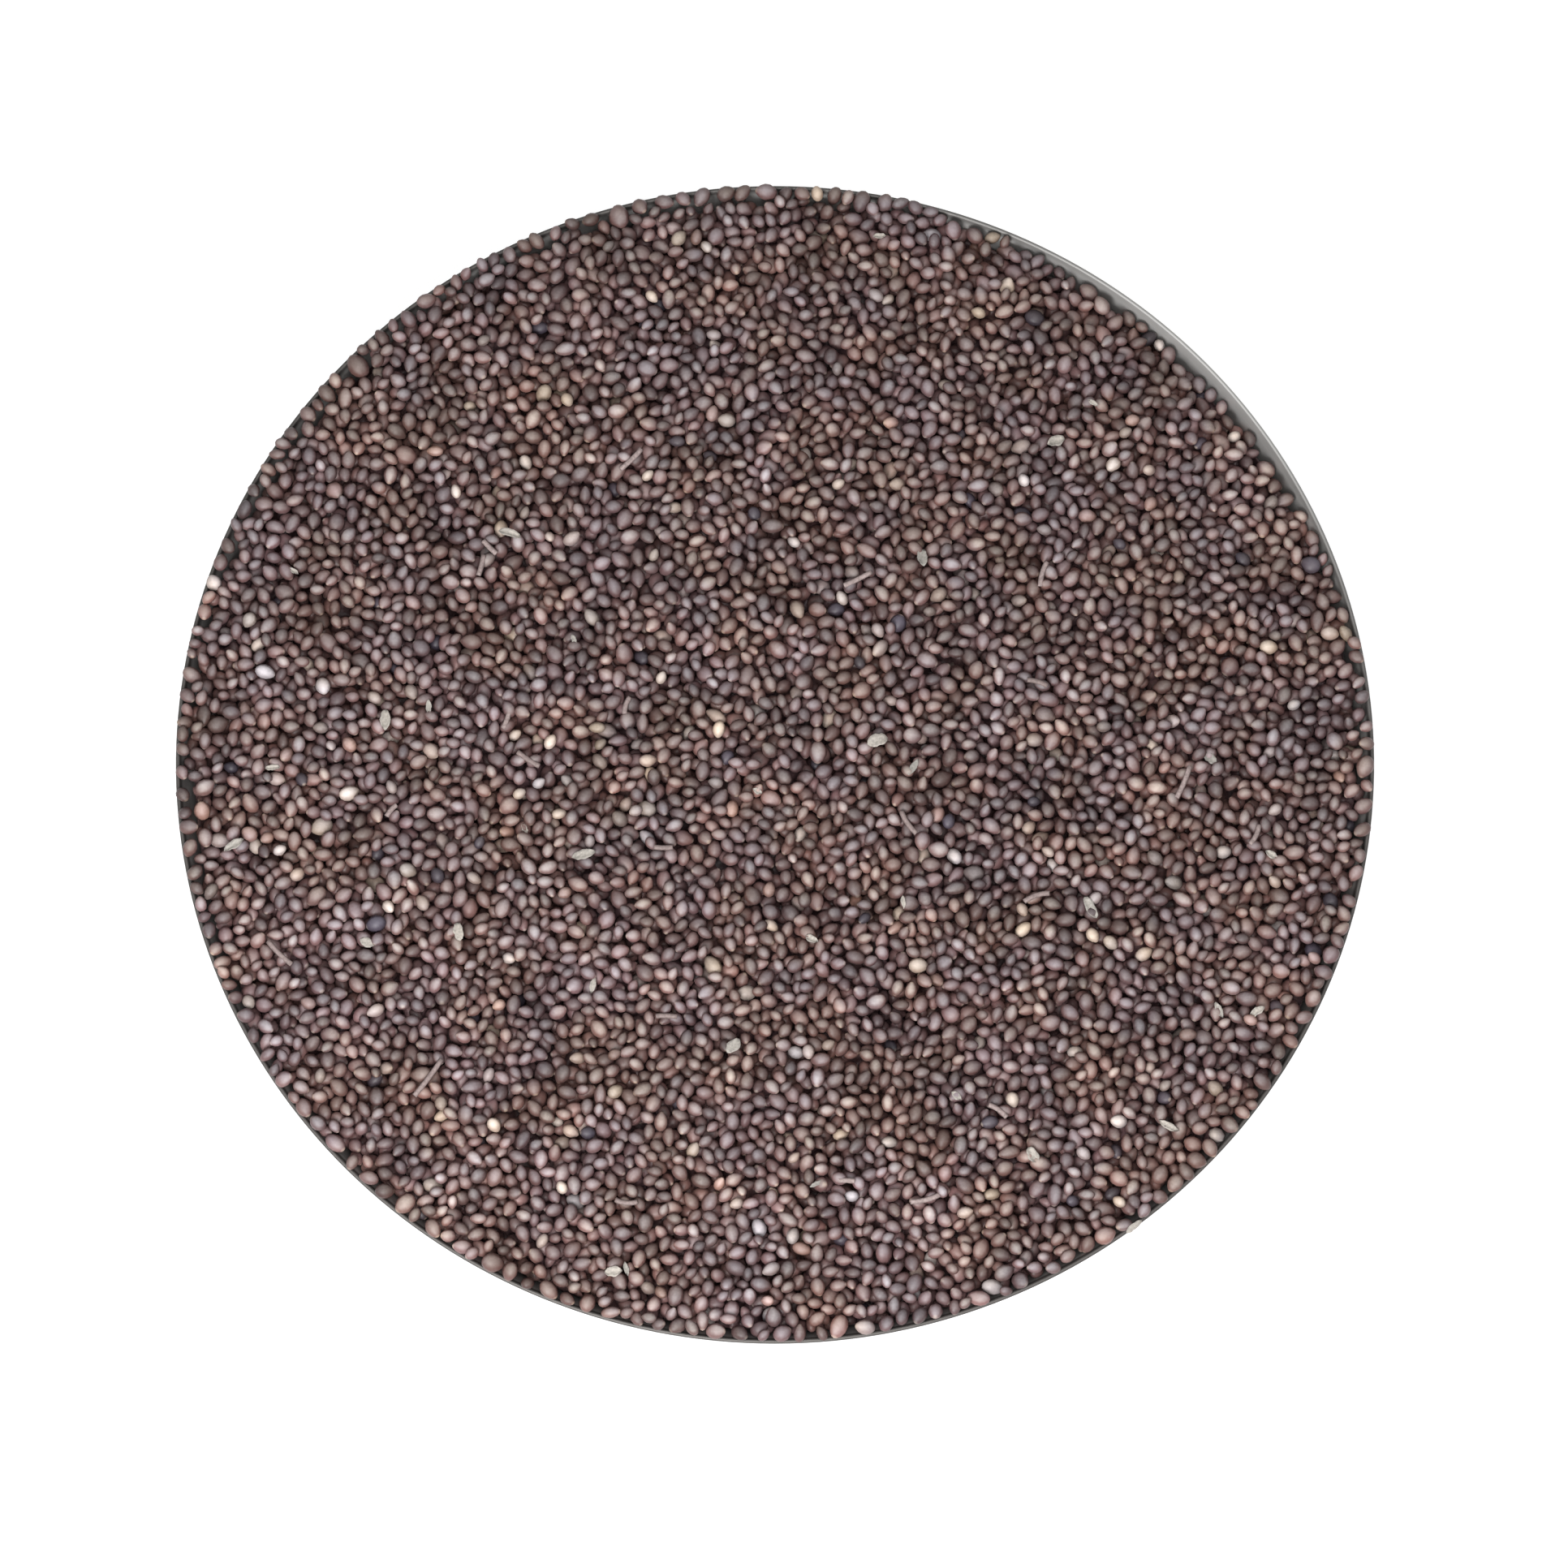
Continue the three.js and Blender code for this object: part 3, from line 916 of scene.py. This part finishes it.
def husk(length, width):
    shape = bmesh.new()
    bmesh.ops.create_grid(shape, x_segments=HUSK_STEPS, y_segments=HUSK_SIDE_STEPS, size=1)
    narrowing, curl, bow = chance.uniform((0.4, 0.10, -0.10), (0.8, 0.30, 0.15))
    ragged = chance.uniform(0.7, 1.0, (2, HUSK_STEPS + 1))
    for point in shape.verts:
        x, y, _ = point.co
        side = ragged[int(y > 0), round((x + 1) / 2 * HUSK_STEPS)]
        reach = side * (1 - narrowing * abs(x) ** 2.5)
        height = curl * width * y * y + bow * length * (1 - x * x)
        point.co = (length / 2 * x * (1 - 0.15 * abs(y)), width / 2 * y * reach, height)
    bmesh.ops.solidify(shape, geom=shape.faces, thickness=HUSK_THICKNESS)
    bmesh.ops.recalc_face_normals(shape, faces=shape.faces)
    return shape


def lying_on_seeds(x, y, half_length, heading, tilt=0.0):
    """The placing of a small thing that lies on the highest seed tops under it."""
    i, j = int(x / CELL + CELLS / 2), int(y / CELL + CELLS / 2)
    around = int(0.6 * half_length / CELL)
    near = height_map[i - around : i + around, j - around : j + around]
    height = float(near[near < 2 * RIM_HEIGHT].max())
    turn = Matrix.Rotation(heading, 4, "Z") @ Matrix.Rotation(tilt, 4, "Y")
    return Matrix.Translation((x, y, height - HUSK_THICKNESS)) @ turn


def add_part(whole, part, placing, tones_given):
    """Join a part to a whole where it is placed, but nowhere higher than the frame's heap reaches."""
    bmesh.ops.transform(part, verts=part.verts, matrix=placing)
    too_high = max(0, max(point.co.z for point in part.verts) - heap_box[1].z)
    bmesh.ops.translate(part, verts=part.verts, vec=(0, 0, -too_high))
    tones_given.extend([chance.random()] * len(part.verts))
    mesh = mesh_from(part, "part")
    whole.from_mesh(mesh)
    bpy.data.meshes.remove(mesh)


def random_place(reach):
    """A random place on the heap, at most a share of the rim's radius from the middle."""
    heading = chance.uniform(0, 2 * math.pi)
    away = RIM_RADIUS * reach * math.sqrt(chance.random())
    return away * math.cos(heading), away * math.sin(heading)


# %% Scatter the husks
husks = bmesh.new()
husk_tones = []
for spot_across, spot_down, length, width, heading in HUSK_SPOTS:
    x, y = seen_on_heap(spot_across, spot_down)
    placing = lying_on_seeds(x, y, length * MM / 2, math.radians(heading), math.radians(chance.normal(0, 5)))
    add_part(husks, husk(length * MM, width * MM), placing, husk_tones)
for _ in range(MORE_HUSKS):
    length = chance.uniform(0.7, 1.3) * MM
    place = random_place(0.93)
    heading = chance.uniform(*ANY_HEADING)
    placing = lying_on_seeds(*place, length / 2, heading, chance.normal(0, 0.1))
    add_part(husks, husk(length, length * chance.uniform(0.35, 0.7)), placing, husk_tones)
husk_mesh = mesh_from(husks, "husks")
set_attribute(husk_mesh, "shade", husk_tones)
print(len(HUSK_SPOTS) + MORE_HUSKS, "husks,", len(husk_mesh.polygons), "faces")

# %% [markdown]
# Dry husk is dull and slightly fibrous. Its colour goes from greenish grey to straw from piece to piece,
# with a finer noise over each piece, and the same noise roughens it.

# %% Make the dry chaff finish
def chaff_material(name, pale, dark):
    material, tree, shader = new_material(name)
    spot = add_node(tree, "ShaderNodeTexCoord").outputs["Object"]
    grain = add_node(tree, "ShaderNodeTexNoise", {"Vector": spot, "Scale": 6000, "Detail": 4}).outputs["Fac"]
    shade = add_node(tree, "ShaderNodeAttribute", attribute_name="shade").outputs["Fac"]
    colour = mix_colours(tree, shade, (*dark, 1), (*pale, 1))
    speckled = mix_colours(tree, remap(tree, grain, 0.35, 0.7, 0, 0.6), colour, (*(0.5 * c for c in dark), 1))
    bump = add_node(tree, "ShaderNodeBump", {"Height": grain, "Strength": 0.7, "Distance": 0.02 * MM})
    tree.links.new(speckled, shader.inputs["Base Color"])
    tree.links.new(remap(tree, grain, 0, 1, 0.5, 0.8), shader.inputs["Roughness"])
    tree.links.new(bump.outputs["Normal"], shader.inputs["Normal"])
    return material


husk_finish = chaff_material("dry_husk", (0.46, 0.415, 0.365), (0.30, 0.282, 0.258))
new_piece("husk_flakes", husk_mesh, husk_finish, "seed_heap")
print("husk finish has", len(husk_finish.node_tree.nodes), "nodes")

# %% [markdown]
# A bit of stem hair is a thin tube with a slight bend. Spinning a small circle about an axis far to its
# side sweeps it along an arc, which makes such a tube in one step, and filling the two open ends closes it.

# %% Spin the stem hairs
HAIR_THICKNESS = 0.36 * MM
HAIR_TAPER = 0.3  # how much flatter one end is than the other
HAIR_SIDES = 6
HAIR_STEPS = 8
HAIR_SPOTS = [  # pixels across and down the photo, length in millimetres, heading in degrees
    (346, 1174, 2.3, -52), (1459, 964, 2.4, 61), (651, 936, 1.8, -39), (532, 1326, 3.1, 51),
    (602, 673, 1.3, -50), (593, 695, 1.5, 70),
]
MORE_HAIRS = 16


def stem_hair(length, bend):
    """A tube that lies along X, bent sideways by an angle, and flatter towards one end."""
    shape = bmesh.new()
    bmesh.ops.create_circle(shape, segments=HAIR_SIDES, radius=HAIR_THICKNESS / 2)
    bmesh.ops.rotate(shape, verts=shape.verts, cent=(0, 0, 0), matrix=Matrix.Rotation(math.pi / 2, 3, "Y"))
    bmesh.ops.spin(
        shape, geom=[*shape.verts, *shape.edges], cent=(0, length / bend, 0), axis=(0, 0, 1),
        angle=bend, steps=HAIR_STEPS,
    )
    bmesh.ops.holes_fill(shape, edges=shape.edges, sides=0)
    bmesh.ops.translate(shape, verts=shape.verts, vec=(-length / 2, 0, 0))
    for point in shape.verts:
        point.co.z *= 1 - HAIR_TAPER * (point.co.x / length + 0.5)
    bmesh.ops.recalc_face_normals(shape, faces=shape.faces)
    return shape


hairs = bmesh.new()
hair_tones = []
for spot_across, spot_down, length, heading in HAIR_SPOTS:
    x, y = seen_on_heap(spot_across, spot_down)
    placing = lying_on_seeds(x, y, length * MM / 2, math.radians(heading))
    add_part(hairs, stem_hair(length * MM, chance.uniform(0.08, 0.3)), placing, hair_tones)
for _ in range(MORE_HAIRS):
    length = chance.uniform(1.0, 2.2) * MM
    placing = lying_on_seeds(*random_place(0.9), length / 2, chance.uniform(*ANY_HEADING))
    add_part(hairs, stem_hair(length, chance.uniform(0.1, 0.9)), placing, hair_tones)
hair_mesh = mesh_from(hairs, "stem_hairs")
set_attribute(hair_mesh, "shade", hair_tones)
hair_finish = chaff_material("stem_hair", (0.37, 0.290, 0.277), (0.22, 0.165, 0.155))
new_piece("stem_hairs", hair_mesh, hair_finish, "seed_heap")
print(len(HAIR_SPOTS) + MORE_HAIRS, "hairs,", len(hair_mesh.polygons), "faces")
